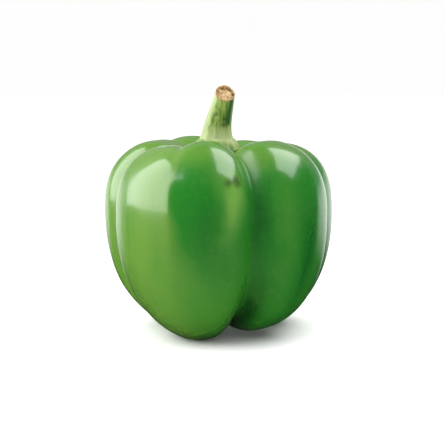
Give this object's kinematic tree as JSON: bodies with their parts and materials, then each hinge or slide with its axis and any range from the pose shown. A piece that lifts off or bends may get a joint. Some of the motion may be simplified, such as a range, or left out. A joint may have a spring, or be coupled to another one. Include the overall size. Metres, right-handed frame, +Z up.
{
  "type": "bell pepper",
  "caption": "Blocky lobed bell pepper standing on the feet of its lobes, with a scalloped calyx and a short ribbed stem cut on the slant.",
  "frame": {"origin": "on the surface it stands on, under the middle of its bounding box", "axes": "+Z up along the fruit's axis, -Y the front, +X the right side, towards which the stem leans"},
  "size_m": [0.0868, 0.0842, 0.0913],
  "materials": {
    "pepper_skin": "smooth waxy green skin, glossy, yellower at the left and darker at the right",
    "calyx": "matt green leaf tissue, paler along its ribs",
    "stem": "matt pale green ribs with a dry tan cut end"
  },
  "bodies": {
    "root": {"fruit": "pepper_skin", "calyx": "calyx", "stem": "stem"}
  },
  "joints": []
}
